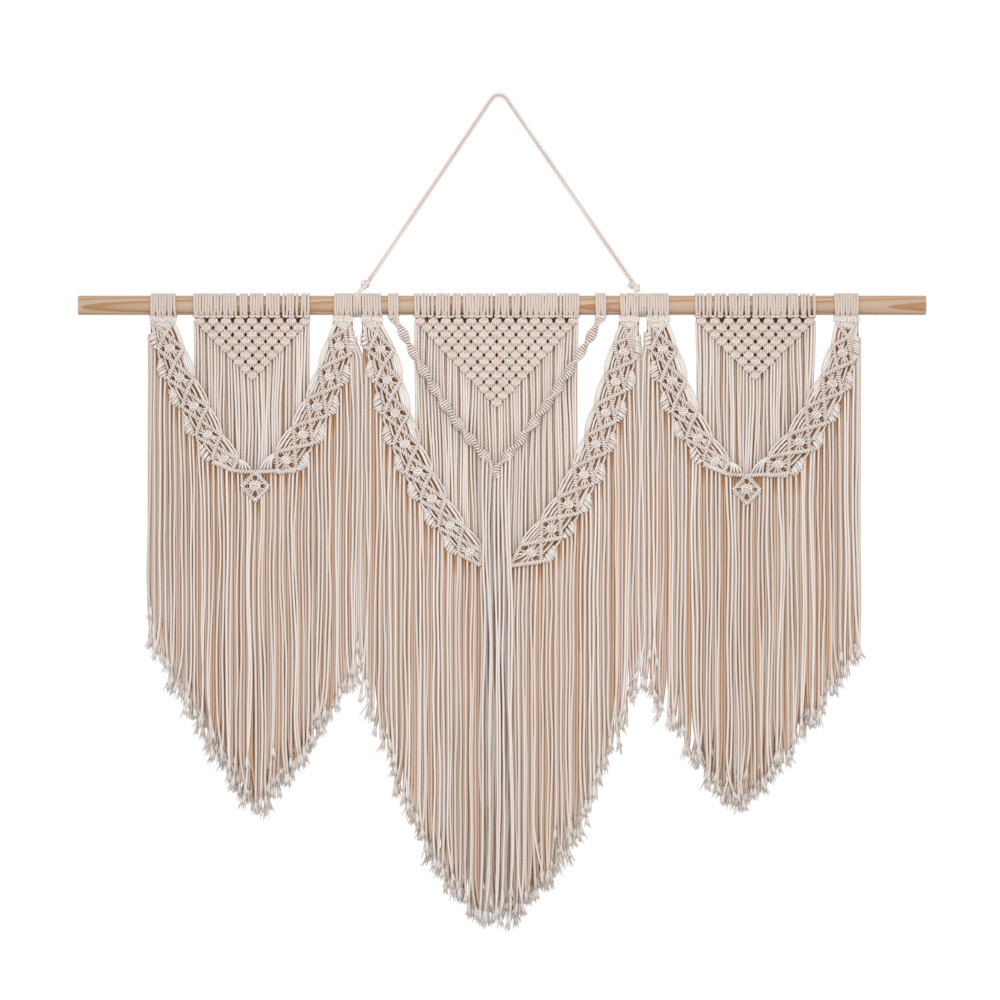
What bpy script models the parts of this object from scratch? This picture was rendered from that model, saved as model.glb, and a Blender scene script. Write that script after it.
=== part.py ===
"""Macrame wall hanging on a wooden dowel.

Metres, +Z up.  The front faces -Y and the dowel runs along X.  The origin is the
top of the hanging cord, where the wall hook carries it.  Everything that is tied
to the dowel is placed by its X and by its drop, the distance below the dowel's axis.
"""
import math

import bmesh
import bpy
from mathutils import Matrix, Vector

# ---------------------------------------------------------------- driving dimensions
DOWEL_LENGTH = 1.100
DOWEL_DIAMETER = 0.025
DOWEL_BEVEL = 0.0006
DOWEL_CENTRE_X = 0.004
HANG_DROP = 0.273            # dowel axis below the hook
CORD_DIAMETER = 0.004        # every strand of the macrame
CLEARANCE = 0.0004           # between a wrap and the dowel

HANGER_DIAMETER = 0.0056     # two strands lying together
HANGER_APEX_RADIUS = 0.012
SMOOTH_STEP = 0.012          # spacing of the points read from the cord's curve

# depths of the layers, from the dowel's axis towards the viewer (-Y)
PANEL_BACK = -0.0049
PANEL_FRONT = -0.0092
KNOT_FRONT = -0.0124
HOLE_FRONT = -0.0064         # bottom of the holes between square knots
PANEL_STRAND_Y = -0.0070
GARLAND_Y = -0.0155
GARLAND_STRAND_Y = -0.0152
TWIST_Y = -0.0150
TWIST_STRAND_Y = -0.0208

# lark's heads round the dowel
WRAP_STEPS = 10
WRAP_BORE = (DOWEL_DIAMETER / 2 + CLEARANCE) / math.cos(math.pi / WRAP_STEPS)
WRAP_VALLEY = 0.0150
WRAP_RIDGE = 0.0170
WRAP_PITCH = 0.0165          # one modelled ridge for each pair of lark's heads

STRAND_RADIUS = 0.00195
STRAND_TIP_RADIUS = 0.0014
STRAND_ROOT = 0.003          # length of a strand that lies inside its backing

# knotted panels; columns: name, left and right end on the dowel, square knots in the first row
PANELS = [
    ("panel_left", -0.3964, -0.2434, 9),
    ("panel_centre", -0.1103, 0.1042, 13),
    ("panel_right", 0.2538, 0.4108, 9),
]
STRANDS_PER_KNOT = 4
PANEL_TOP_DROP = 0.0124
FIRST_ROW_DROP = 0.0193
ROW_PITCH = 0.0090

# cut lower edge of the fringe: a rounded V between two sides and a tip
FRINGE_COLUMNS = ("name", "left", "left_drop", "tip", "tip_drop", "right", "right_drop", "curve")
FRINGES = {
    "left": (-0.4530, 0.445, -0.3130, 0.663, -0.1780, 0.475, 1.10),
    "centre": (-0.1740, 0.500, -0.0080, 0.803, 0.1820, 0.491, 1.80),
    "right": (0.1860, 0.489, 0.3090, 0.658, 0.4670, 0.455, 1.20),
}
CUT_STEP = 0.007             # unevenness of the scissor cut

# garlands; columns: name, fringe, then for the left and the right half its root on the
# dowel and the (x, drop) of the square knot in each diamond, from the dowel down
GARLANDS = [
    ("garland_left", "left",
     (-0.4520, -0.4190),
     [(-0.4260, 0.060), (-0.4120, 0.097), (-0.3920, 0.130), (-0.3755, 0.167), (-0.3480, 0.204)],
     (-0.2140, -0.1900),
     [(-0.2010, 0.054), (-0.2180, 0.093), (-0.2320, 0.132), (-0.2520, 0.169), (-0.2770, 0.203)]),
    ("garland_centre", "centre",
     (-0.1778, -0.1525),
     [(-0.1545, 0.057), (-0.1470, 0.101), (-0.1300, 0.138), (-0.1180, 0.176), (-0.1040, 0.214),
      (-0.0850, 0.254), (-0.0636, 0.288), (-0.0376, 0.320)],
     (0.1570, 0.1810),
     [(0.1635, 0.057), (0.1506, 0.096), (0.1376, 0.136), (0.1246, 0.178), (0.1077, 0.218),
      (0.0922, 0.256), (0.0714, 0.289), (0.0415, 0.321)]),
    ("garland_right", "right",
     (0.1920, 0.2205),
     [(0.2130, 0.059), (0.2270, 0.097), (0.2414, 0.133), (0.2564, 0.169), (0.2830, 0.203)],
     (0.4350, 0.4660),
     [(0.4465, 0.062), (0.4348, 0.098), (0.4154, 0.137), (0.3933, 0.171), (0.3647, 0.205)]),
]
DIAMOND_HALF_WIDTH = 0.0160
BAR_RADIUS = 0.0029
SCALLOP_BULGE = 0.0085
INNER_LOOP_BULGE = 0.0065
KNOT_SIZE = (0.0066, 0.0042, 0.0064)
KNOT_PROUD = 0.0021          # a square knot's middle stands in front of the lattice's
LUMP_TURN = math.radians(7)  # keeps a knot's facets out of line with the lattice's edges
GAP_MARGIN = 0.0022          # half the width of the bar left beside a gap
GAP_KNOT_OFFSET = 0.0034     # half the width left for the strands that carry the knot
GARLAND_STRAND_PITCH = 0.0072
LATTICE_TOP = 0.0165
LATTICE_ROOT = 0.0032        # length of a fringe strand inside the lattice's edge
ROOT_NECK_SHARES = (0.18, 0.50, 0.82)
ROOT_NECK_Y = -0.0110
ROOT_NECK_DROP = 0.0102
JOIN_DROP_BELOW_KNOT = 0.0165   # bottom bar below the last pair of square knots
PENDANT_HALF_WIDTH = 0.0170
PENDANT_HEIGHT = 0.0340

# twisted sinnets that make the V; columns: root on the dowel, path as (x, drop)
TWISTS = [
    ((-0.1440, -0.1300),
     [(-0.1370, 0.0102), (-0.1246, 0.036), (-0.1116, 0.061), (-0.0935, 0.092), (-0.0740, 0.124),
      (-0.0558, 0.150), (-0.0325, 0.180), (-0.0104, 0.206), (-0.0040, 0.227)]),
    ((0.1250, 0.1390),
     [(0.1320, 0.0102), (0.1194, 0.040), (0.1025, 0.067), (0.0844, 0.096), (0.0584, 0.134),
      (0.0390, 0.160), (0.0208, 0.184), (0.0026, 0.205), (-0.0030, 0.222)]),
]
TWIST_THIN = 0.0040
TWIST_THICK = 0.0056
TWIST_PERIOD = 0.0300
TWIST_STRANDS = 8
TWIST_STRAND_PITCH = 0.00487
TWIST_STRAND_FIRST = -0.0201
TWIST_STRAND_ROOT_Y = -0.0165

# ties of the hanging cord; columns: name, left and right end of the turns on the dowel,
# x and z of the knot above them
TIES = [
    ("cord_tie_left", -0.1886, -0.1792, -0.1726, -0.2466),
    ("cord_tie_right", 0.1822, 0.1908, 0.1775, -0.2490),
]
TIE_KNOT_SIZE = (0.0068, 0.0062, 0.0082)

# ---------------------------------------------------------------- colours
COTTON = (0.72, 0.66, 0.60, 1.0)
PINE = (0.62, 0.42, 0.25, 1.0)


# ---------------------------------------------------------------- scene helpers
def empty_scene():
    for old in list(bpy.data.objects):
        bpy.data.objects.remove(old, do_unlink=True)


def collection(name):
    made = bpy.data.collections.new(name)
    bpy.context.scene.collection.children.link(made)
    return made


def material(name, colour, roughness):
    made = bpy.data.materials.new(name)
    made.use_nodes = True
    shader = made.node_tree.nodes["Principled BSDF"]
    shader.inputs["Base Color"].default_value = colour
    shader.inputs["Roughness"].default_value = roughness
    shader.inputs["Metallic"].default_value = 0.0
    return made


def object_from(name, mesh):
    made = bpy.data.objects.new(name, mesh)
    PARTS.objects.link(made)
    return made


def object_from_bmesh(name, bm):
    bmesh.ops.recalc_face_normals(bm, faces=bm.faces)
    mesh = bpy.data.meshes.new(name)
    bm.to_mesh(mesh)
    bm.free()
    return object_from(name, mesh)


def evaluated_mesh(obj):
    bpy.context.view_layer.update()
    graph = bpy.context.evaluated_depsgraph_get()
    return bpy.data.meshes.new_from_object(obj.evaluated_get(graph))


def replace_by_mesh(obj, name):
    """The evaluated, welded mesh of a curve or of an object with modifiers."""
    mesh = evaluated_mesh(obj)
    bpy.data.objects.remove(obj, do_unlink=True)
    bm = bmesh.new()
    bm.from_mesh(mesh)
    bmesh.ops.remove_doubles(bm, verts=bm.verts, dist=1e-6)
    return object_from_bmesh(name, bm)


def tubes(name, routes, sides=4):
    """Round strands of changing radius; a route is a list of (x, y, z, radius)."""
    curve = bpy.data.curves.new(name, "CURVE")
    curve.dimensions = "3D"
    curve.twist_mode = "MINIMUM"
    curve.bevel_depth = 1.0
    curve.bevel_resolution = (sides - 4) // 2
    curve.use_fill_caps = True
    for route in routes:
        spline = curve.splines.new("POLY")
        spline.points.add(len(route) - 1)
        for point, (x, y, z, radius) in zip(spline.points, route):
            point.co = (x, y, z, 1.0)
            point.radius = radius
    return replace_by_mesh(object_from(name, curve), name)


def union(base, other, overlapping=False):
    """base joined with other; overlapping says that other's own bodies cross."""
    joined = base.modifiers.new("Union", "BOOLEAN")
    joined.operation = "UNION"
    joined.solver = "EXACT"
    joined.use_self = overlapping
    joined.object = other
    name = base.name
    base.name = name + "_before"
    made = replace_by_mesh(base, name)
    bpy.data.objects.remove(other, do_unlink=True)
    return made


def finish(obj, name, mat):
    obj.name = name
    obj.data.materials.clear()
    obj.data.materials.append(mat)
    obj.data.shade_smooth()
    obj.data.set_sharp_from_angle(angle=math.radians(40))


def height(drop):
    return -HANG_DROP - drop


# ---------------------------------------------------------------- shared forms
def wrap_sleeve(name, left, right):
    """Ridged sleeve of lark's heads round the dowel, turned about its axis."""
    ridges = max(1, round((right - left) / WRAP_PITCH))
    step = (right - left) / ridges
    outline = [(left, WRAP_BORE), (left, WRAP_VALLEY)]
    for ridge in range(ridges):
        outline.append((left + (ridge + 0.5) * step, WRAP_RIDGE))
        outline.append((left + (ridge + 1.0) * step, WRAP_VALLEY))
    outline.append((right, WRAP_BORE))
    bm = bmesh.new()
    ring = [bm.verts.new((x, -radius, 0.0)) for x, radius in outline]
    for first, second in zip(ring, ring[1:] + ring[:1]):
        bm.edges.new((first, second))
    turned = object_from_bmesh(name, bm)
    screw = turned.modifiers.new("Turn", "SCREW")
    screw.axis = "X"
    screw.steps = WRAP_STEPS
    screw.render_steps = WRAP_STEPS
    screw.use_merge_vertices = True
    screw.merge_threshold = 0.00001
    sleeve = replace_by_mesh(turned, name)
    sleeve.data.transform(Matrix.Translation((0.0, 0.0, -HANG_DROP)))
    return sleeve


def cut_drop(x, fringe, index):
    """Drop at which the strand at x is cut, with the uneven steps of the scissors."""
    left, left_drop, tip, tip_drop, right, right_drop, curve = FRINGES[fringe]
    side, side_drop = (left, left_drop) if x < tip else (right, right_drop)
    share = min(1.0, abs(x - tip) / abs(side - tip))
    smooth = side_drop + (tip_drop - side_drop) * (1.0 - share ** curve)
    return smooth - CUT_STEP * (0.5 + 0.5 * math.sin(2.4 * index))


def strand_route(x, y, top_drop, end_drop):
    return [(x, y, height(top_drop), STRAND_RADIUS), (x, y, height(end_drop), STRAND_TIP_RADIUS)]


# ---------------------------------------------------------------- dowel and hanging cord
def make_dowel():
    bpy.ops.mesh.primitive_cylinder_add(
        vertices=32, radius=DOWEL_DIAMETER / 2, depth=DOWEL_LENGTH,
        location=(DOWEL_CENTRE_X, 0.0, -HANG_DROP), rotation=(0.0, math.pi / 2, 0.0))
    dowel = bpy.context.object
    for holder in list(dowel.users_collection):
        holder.objects.unlink(dowel)
    PARTS.objects.link(dowel)
    bevel = dowel.modifiers.new("Sanded ends", "BEVEL")
    bevel.width = DOWEL_BEVEL
    bevel.segments = 1
    bevel.limit_method = "ANGLE"
    bevel.angle_limit = math.radians(60)
    finish(dowel, "dowel", WOOD)


def hanger_points():
    """Centre line of the doubled cord: two straight legs and a round turn on the hook."""
    ends = [Vector((tie[3], 0.0, tie[4])) for tie in TIES]
    corner = Vector((0.0, 0.0, 0.0))
    legs = [(end - corner).normalized() for end in ends]
    half_angle = legs[0].angle(legs[1]) / 2
    setback = HANGER_APEX_RADIUS / math.tan(half_angle)
    starts = [corner + leg * setback for leg in legs]
    middle = corner + (legs[0] + legs[1]).normalized() * (HANGER_APEX_RADIUS / math.sin(half_angle))
    turn = []
    for step in range(7):
        blend = step / 6
        way = (starts[0] - middle).lerp(starts[1] - middle, blend).normalized()
        turn.append(middle + way * HANGER_APEX_RADIUS)
    lift = Vector((0.0, 0.0, -turn[3].z))
    turn = [point + lift for point in turn]
    points = []
    for end, first in ((ends[0], turn[0]), (ends[1], turn[-1])):
        way = (first - end).normalized()
        reach = 1.0 / math.hypot(way.x / TIE_KNOT_SIZE[0], way.z / TIE_KNOT_SIZE[2])
        start = end + way * (reach + CLEARANCE)
        count = round((first - start).length / SMOOTH_STEP)
        leg = [start.lerp(first, step / count) for step in range(count)]
        points.append(leg)
    return points[0] + turn + points[1][::-1]


def make_hanging_cord():
    radius = HANGER_DIAMETER / 2
    route = [(point.x, point.y, point.z, radius) for point in hanger_points()]
    finish(tubes("hanging_cord", [route], sides=6), "hanging_cord", CLOTH)


def make_tie(name, ring_left, ring_right, knot_x, knot_z):
    """Turns of the doubled cord round the dowel, and the knot above them."""
    ring = wrap_sleeve(name, ring_left, ring_right)
    knot = lump(name + "_knot", Vector((knot_x, 0.0, knot_z)), TIE_KNOT_SIZE, 2)
    ring_x = (ring_left + ring_right) / 2
    link = tubes(name + "_link", [
        [(ring_x, 0.0, -HANG_DROP + 0.0145, 0.0034), (knot_x, 0.0, knot_z, 0.0034)]], sides=6)
    ring = union(union(ring, link), knot)
    finish(ring, name, CLOTH)


def lump(name, centre, size, subdivisions):
    bm = bmesh.new()
    bmesh.ops.create_icosphere(bm, subdivisions=subdivisions, radius=1.0)
    bmesh.ops.rotate(bm, verts=bm.verts, matrix=Matrix.Rotation(LUMP_TURN, 3, "Y"))
    for vert in bm.verts:
        vert.co = centre + Vector((vert.co.x * size[0], vert.co.y * size[1], vert.co.z * size[2]))
    return object_from_bmesh(name, bm)


# ---------------------------------------------------------------- knotted panels
def panel_face(name, left, right, knots):
    """Triangle of alternating square knots, raised from one face of a thin sheet."""
    half = (right - left) / (2 * knots)
    lines = [PANEL_TOP_DROP] + [FIRST_ROW_DROP + (j - 1) * ROW_PITCH / 2 for j in range(1, 2 * knots + 1)]
    bm = bmesh.new()
    bmesh.ops.create_grid(bm, x_segments=2 * knots, y_segments=2 * knots, size=0.5)
    for vert in bm.verts:
        column = round((vert.co.x + 0.5) * 2 * knots)
        line = round((0.5 - vert.co.y) * 2 * knots)
        row = (line - 1) // 2
        depth = PANEL_FRONT
        if line == 0:
            depth = KNOT_FRONT
        elif line % 2 == 1:
            inset = min(column, 2 * knots - column) - row
            if inset % 2 == 1:
                depth = KNOT_FRONT
            elif inset > 0:
                depth = HOLE_FRONT
        vert.co = (left + column * half, depth, height(lines[line]))
    shoulder = FIRST_ROW_DROP + ROW_PITCH / 2
    for corner, side in ((left, 1.0), (right, -1.0)):
        outward = Vector((-ROW_PITCH * side, 0.0, -half))
        bmesh.ops.bisect_plane(
            bm, geom=bm.verts[:] + bm.edges[:] + bm.faces[:], clear_outer=True,
            plane_co=(corner, 0.0, height(shoulder)), plane_no=outward)
    rim = [edge for edge in bm.edges if edge.is_boundary]
    wall = bmesh.ops.extrude_edge_only(bm, edges=rim)["geom"]
    back = [item for item in wall if isinstance(item, bmesh.types.BMVert)]
    for vert in back:
        vert.co.y = PANEL_BACK
    bmesh.ops.holes_fill(bm, edges=[edge for edge in bm.edges if edge.is_boundary])
    return object_from_bmesh(name, bm)


def make_panel(name, left, right, knots):
    fringe = name.removeprefix("panel_")
    half = (right - left) / (2 * knots)
    count = knots * STRANDS_PER_KNOT
    pitch = (right - left) / count
    routes = []
    for index in range(count):
        x = left + (index + 0.5) * pitch
        inset = min(x - left, right - x)
        edge = FIRST_ROW_DROP + ROW_PITCH * min(inset / half + 0.5, knots - 0.5)
        routes.append(strand_route(x, PANEL_STRAND_Y, edge - STRAND_ROOT, cut_drop(x, fringe, index)))
    panel = wrap_sleeve(name, left, right)
    panel = union(panel, panel_face(name + "_knots", left, right, knots))
    panel = union(panel, tubes(name + "_strands", routes))
    finish(panel, name, CLOTH)


# ---------------------------------------------------------------- garlands
def diamond_frames(root, centres, join, side):
    """Square knot, inner and outer corner of each diamond as (x, drop); side is -1 on the left half."""
    line = [((root[0] + root[1]) / 2, LATTICE_TOP)] + centres + [join]
    frames = []
    for index in range(1, len(line) - 1):
        before, here, after = (Vector(line[i]) for i in (index - 1, index, index + 1))
        along = after - before
        slant = abs(math.atan2(along.x, along.y))
        tilt = slant * min(1.0, slant / math.radians(45))
        outward = Vector((side * math.cos(tilt), math.sin(tilt)))
        reach = outward * DIAMOND_HALF_WIDTH
        frames.append((here, here - reach, here + reach, outward))
    return frames


def shrunk(polygon, margin):
    """The polygon drawn towards its middle, so that bars of twice the margin are left round it."""
    middle = sum(polygon, Vector((0.0, 0.0))) / len(polygon)
    reach = min(abs((middle - a).dot((b - a).orthogonal().normalized()))
                for a, b in zip(polygon, polygon[1:] + polygon[:1]))
    scale = 1.0 - margin / reach
    return [middle + (corner - middle) * scale for corner in polygon] if scale > 0.2 else None


def half_lattice(root, centres, join, side, fringe):
    """Outer edge, inner edge and gaps of one half, from the root down to the join."""
    limits = dict(zip(FRINGE_COLUMNS[1:], FRINGES[fringe]))
    frames = diamond_frames(root, centres, join, side)
    outer_x, inner_x = (root[0], root[1]) if side < 0 else (root[1], root[0])
    outer = [Vector((outer_x, LATTICE_TOP))] + [frame[2] for frame in frames]
    inner = [Vector((inner_x, LATTICE_TOP))] + [frame[1] for frame in frames]
    knots = [Vector(((root[0] + root[1]) / 2, LATTICE_TOP))] + [frame[0] for frame in frames] + [join]
    crossings = [(a + b) / 2 for a, b in zip(knots, knots[1:])]
    outer_edge = [outer[0]]
    inner_edge = [inner[0]]
    gaps = []
    for index, (knot, inside, outside, outward) in enumerate(frames):
        above, below = crossings[index], crossings[index + 1]
        outer_edge.append(outer[index].lerp(outside, 0.35) + outward * SCALLOP_BULGE * 0.6)
        outer_edge.append(outer[index].lerp(outside, 0.75) + outward * SCALLOP_BULGE)
        outer_edge.append(outside + outward * BAR_RADIUS)
        inner_edge.append((inner[index] + inside) / 2 - outward * INNER_LOOP_BULGE)
        inner_edge.append(inside - outward * BAR_RADIUS)
        beside = outward * GAP_KNOT_OFFSET
        gaps.append([above + beside, outside, below + beside])
        gaps.append([above - beside, inside, below - beside])
        if index:
            gaps.append([outer[index], above, outside])
            gaps.append([inner[index], above, inside, inner_edge[-2] + outward * BAR_RADIUS * 0.5])
    for point in outer_edge:
        point.x = min(max(point.x, limits["left"]), limits["right"])
    return outer_edge, inner_edge, [shrunk(gap, GAP_MARGIN) for gap in gaps], [frame[0] for frame in frames]


def plate(name, outline, gaps, depth):
    """Flat lattice: one outline and its gaps as a filled 2-D curve with a thickness."""
    curve = bpy.data.curves.new(name, "CURVE")
    curve.dimensions = "2D"
    curve.fill_mode = "BOTH"
    curve.extrude = depth / 2
    for polygon in [outline] + [gap for gap in gaps if gap]:
        spline = curve.splines.new("POLY")
        spline.use_cyclic_u = True
        spline.points.add(len(polygon) - 1)
        for point, corner in zip(spline.points, polygon):
            point.co = (corner.x, height(corner.y), 0.0, 1.0)
    flat = replace_by_mesh(object_from(name, curve), name)
    upright = Matrix.Translation((0.0, GARLAND_Y, 0.0)) @ Matrix.Rotation(math.pi / 2, 4, "X")
    flat.data.transform(upright)
    return flat


def drop_on(edge, x):
    """Lowest drop of an edge at x, or None where it doesn't reach."""
    found = []
    for a, b in zip(edge, edge[1:]):
        if min(a.x, b.x) <= x <= max(a.x, b.x) and a.x != b.x:
            found.append(a.y + (b.y - a.y) * (x - a.x) / (b.x - a.x))
    return max(found) if found else None


def root_necks(root):
    """Strands that leave the lark's heads and enter the top of the lattice."""
    necks = []
    for share in ROOT_NECK_SHARES:
        x = root[0] + (root[1] - root[0]) * share
        necks.append([(x, ROOT_NECK_Y, height(ROOT_NECK_DROP), BAR_RADIUS),
                      (x, GARLAND_Y + 0.0003, height(LATTICE_TOP + BAR_RADIUS), BAR_RADIUS)])
    return necks


def make_garland(name, fringe, left_root, left_half, right_root, right_half):
    middle_x = (left_half[-1][0] + right_half[-1][0]) / 2
    join = Vector((middle_x, (left_half[-1][1] + right_half[-1][1]) / 2 + JOIN_DROP_BELOW_KNOT))
    left_outer, left_inner, left_gaps, left_knots = half_lattice(left_root, left_half, join, -1, fringe)
    right_outer, right_inner, right_gaps, right_knots = half_lattice(right_root, right_half, join, 1, fringe)
    knots = left_knots + right_knots
    gaps = left_gaps + right_gaps
    lift = Vector((0.0, BAR_RADIUS))
    if fringe == "centre":
        bottom = [join + lift]
    else:
        side = Vector((PENDANT_HALF_WIDTH, 0.0))
        low = Vector((0.0, PENDANT_HEIGHT))
        bottom = [join - side * 0.6 + lift, join - side + low / 2, join + low,
                  join + side + low / 2, join + side * 0.6 + lift]
        for way in (-1.0, 1.0):
            inside = Vector((way * GAP_KNOT_OFFSET, 0.0))
            beside = join + side * way + low / 2
            gaps.append(shrunk([join + inside, beside, join + inside + low], GAP_MARGIN))
        knots.append(join + low / 2)
    edge = left_outer + bottom + right_outer[::-1]
    outline = edge + right_inner + [join - lift] + left_inner[::-1]
    strands = []
    first_x = min(point.x for point in edge) + STRAND_RADIUS
    last_x = max(point.x for point in edge) - STRAND_RADIUS
    count = round((last_x - first_x) / GARLAND_STRAND_PITCH)
    for index in range(count + 1):
        x = first_x + (last_x - first_x) * index / count
        if fringe == "centre" and abs(x - middle_x) < PENDANT_HALF_WIDTH:
            continue
        top = drop_on(edge, x) - LATTICE_ROOT
        strands.append(strand_route(x, GARLAND_STRAND_Y, top, cut_drop(x, fringe, index + 3)))
    garland = plate(name, outline, gaps, 2 * BAR_RADIUS)
    for knot in knots:
        place = Vector((knot.x, GARLAND_Y - KNOT_PROUD, height(knot.y)))
        garland = union(garland, lump(name + "_knot", place, KNOT_SIZE, 1))
    garland = union(garland, tubes(name + "_strands", strands))
    for root in (left_root, right_root):
        garland = union(garland, union(wrap_sleeve(name + "_root", *root), tubes("necks", root_necks(root))))
    finish(garland, name, CLOTH)


# ---------------------------------------------------------------- twisted V
def twist_route(path):
    """Half-knot sinnet: a round cord that swells and narrows with each half turn."""
    points = [Vector(point) for point in path]
    lengths = [0.0]
    for before, after in zip(points, points[1:]):
        lengths.append(lengths[-1] + (after - before).length)
    count = round(lengths[-1] / (TWIST_PERIOD / 2))
    route = []
    for step in range(count + 1):
        reach = lengths[-1] * step / count
        span = min(next((i for i, end in enumerate(lengths[1:]) if reach <= end + 1e-9), len(points) - 2),
                   len(points) - 2)
        share = (reach - lengths[span]) / (lengths[span + 1] - lengths[span])
        radius = TWIST_THICK if step % 2 else TWIST_THIN
        place = points[span].lerp(points[span + 1], share)
        depth = TWIST_Y if step else ROOT_NECK_Y
        route.append((place.x, depth, height(place.y), radius))
    return route


def make_twisted_v():
    routes = [twist_route(path) for _, path in TWISTS]
    strands = []
    for index in range(TWIST_STRANDS):
        x = TWIST_STRAND_FIRST + index * TWIST_STRAND_PITCH
        hang = max(drop_on([Vector(point) for point in path], x) or 0.0 for _, path in TWISTS)
        end = cut_drop(x, "centre", index)
        strands.append([(x, TWIST_STRAND_ROOT_Y, height(hang), STRAND_RADIUS),
                        (x, TWIST_STRAND_Y, height(hang + 0.014), STRAND_RADIUS),
                        (x, TWIST_STRAND_Y, height(end), STRAND_TIP_RADIUS)])
    piece = tubes("twisted_v", [routes[0]], sides=6)
    piece = union(piece, tubes("twist_right", [routes[1]], sides=6))
    piece = union(piece, tubes("twist_strands", strands))
    for root, _ in TWISTS:
        piece = union(piece, wrap_sleeve("twist_root", *root))
    finish(piece, "twisted_v", CLOTH)


empty_scene()
PARTS = collection("macrame_wall_hanging")
CLOTH = material("cotton_cord", COTTON, 0.9)
WOOD = material("pine", PINE, 0.55)
make_dowel()
make_hanging_cord()
for tie in TIES:
    make_tie(*tie)
for panel_row in PANELS:
    make_panel(*panel_row)
for garland_row in GARLANDS:
    make_garland(*garland_row)
make_twisted_v()
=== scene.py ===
"""Looks of the macrame wall hanging: every cotton cord of it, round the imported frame.

Metres, +Z up.  The front faces -Y and the origin is the top of the hanging cord.  A
place on the macrame is given by its x and its drop, the distance below the dowel's axis.
Flat drawings of knots use Vector((x, drop)); at() puts such a place into the scene.
"""
import math
import random

import bpy
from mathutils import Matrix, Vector, noise


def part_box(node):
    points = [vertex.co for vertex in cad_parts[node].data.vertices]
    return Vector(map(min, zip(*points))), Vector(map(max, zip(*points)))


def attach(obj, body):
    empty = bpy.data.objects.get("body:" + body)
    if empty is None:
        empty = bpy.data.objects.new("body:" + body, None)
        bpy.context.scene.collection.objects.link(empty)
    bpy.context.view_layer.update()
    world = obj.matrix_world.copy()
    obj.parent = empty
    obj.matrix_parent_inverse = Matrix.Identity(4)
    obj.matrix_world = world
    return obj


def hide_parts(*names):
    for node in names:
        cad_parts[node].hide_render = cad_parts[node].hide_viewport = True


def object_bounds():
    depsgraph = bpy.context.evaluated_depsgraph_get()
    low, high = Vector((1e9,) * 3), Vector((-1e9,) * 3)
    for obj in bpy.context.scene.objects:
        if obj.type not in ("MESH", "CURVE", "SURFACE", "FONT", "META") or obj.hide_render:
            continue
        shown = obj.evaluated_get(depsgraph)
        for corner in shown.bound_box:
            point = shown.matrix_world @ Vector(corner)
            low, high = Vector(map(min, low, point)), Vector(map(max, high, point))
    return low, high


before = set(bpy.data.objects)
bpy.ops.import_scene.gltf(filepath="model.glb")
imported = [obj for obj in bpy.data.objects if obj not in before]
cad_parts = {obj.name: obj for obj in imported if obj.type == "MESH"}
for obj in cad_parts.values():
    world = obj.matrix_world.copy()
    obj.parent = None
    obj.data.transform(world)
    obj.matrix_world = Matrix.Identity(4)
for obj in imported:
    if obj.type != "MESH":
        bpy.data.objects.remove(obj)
CAD_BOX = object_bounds()

# ---- sizes read from the frame
DOWEL_LOW, DOWEL_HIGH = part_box("dowel")
DOWEL_Z = (DOWEL_LOW.z + DOWEL_HIGH.z) / 2
DOWEL_RADIUS = (DOWEL_HIGH.z - DOWEL_LOW.z) / 2

PINE_EARLY = (0.525, 0.4, 0.305, 1.0)
PINE_MIDDLE = (0.46, 0.305, 0.19, 1.0)
PINE_LATE = (0.36, 0.18, 0.076, 1.0)
# colours within a year's ring; it starts and ends with PINE_EARLY
RING_STOPS = ((0.02, PINE_LATE), (0.2, PINE_LATE), (0.34, PINE_MIDDLE), (0.66, PINE_EARLY))
PITH = (0.0485, 0.01)  # centre of the growth rings from the dowel's axis, (y, z)
RING_WIDTH = 0.0042
RING_TILT = 0.021  # how far the rings' axis leans away from the dowel's
RING_BEND = 1.6  # rings that the grain drifts along the dowel

# ---- photograph and camera
PHOTO_SIZE = 1000
PHOTO_SCALE = 0.001298  # metres at the hanging for each pixel of the photograph
PHOTO_APEX = (499, 95)  # pixel of the origin
CAMERA_DISTANCE = 8.0
SENSOR_MM = 36.0
FLOOR_SIZE = 7.0
FLOOR_DROP = 0.45  # floor below the lowest strand
KEY_PLACE = (0.1, -2.6, 0.1)
KEY_SIZE = 1.0
KEY_POWER = 3.3  # watts
KEY_SPREAD = 60.0  # degrees
KEY_COLOUR = (0.97, 0.98, 1.0)

# ---- cord
TAU = 2 * math.pi
SIDES = 6
BACK_SIDES = 5
STRAND_RADIUS = 0.0019
BACK_RADIUS = 0.0023  # back layers are drawn full, so they close
KNOT_RADIUS = 0.0016  # the same cord drawn tight
LINK_RADIUS = KNOT_RADIUS * 0.95
TWIST_PITCH = 0.014  # one turn of the cord's plies

# a hanging strand
STRAND_STEP = 0.012  # spacing of its rings
STRAND_PLAY = (0.88, 1.08)  # of its thickness
BACK_PLAY = 0.25  # how much of the drift a back layer follows
# drifts: width across the strands, length down them, and how far they move one
SWAY = (0.022, 0.16, 0.005)  # neighbours together
WAVE = (0.0021, 0.06, 0.0011)  # each by itself
DEPTH_WAVE = (0.012, 0.12, 0.0012)
LOOSE_LENGTH = 0.07  # below its knot a strand comes loose over this length
STRAND_SLOPE = 0.006  # how far off plumb it hangs
SLOPE_BELOW = 0.03
ROOT_LENGTH = 0.012  # where it comes forward or back to its layer
ASIDE_LENGTH = 0.034  # where it comes out to its place beside the others
SPLAY = 0.003  # how far its last centimetres spread
SPLAY_LENGTH = 0.055

# its frayed end
TUFT_LOCKS = 7
TUFT_LENGTH = (0.013, 0.021)
TUFT_LEAN = 0.22
LOCK_TURN = 2.4  # the golden angle, so that locks never line up
# rings of the brush: share of its length and of its lean
BRUSH = ((0.28, 0.2), (0.55, 0.5), (0.74, 0.7))

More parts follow.
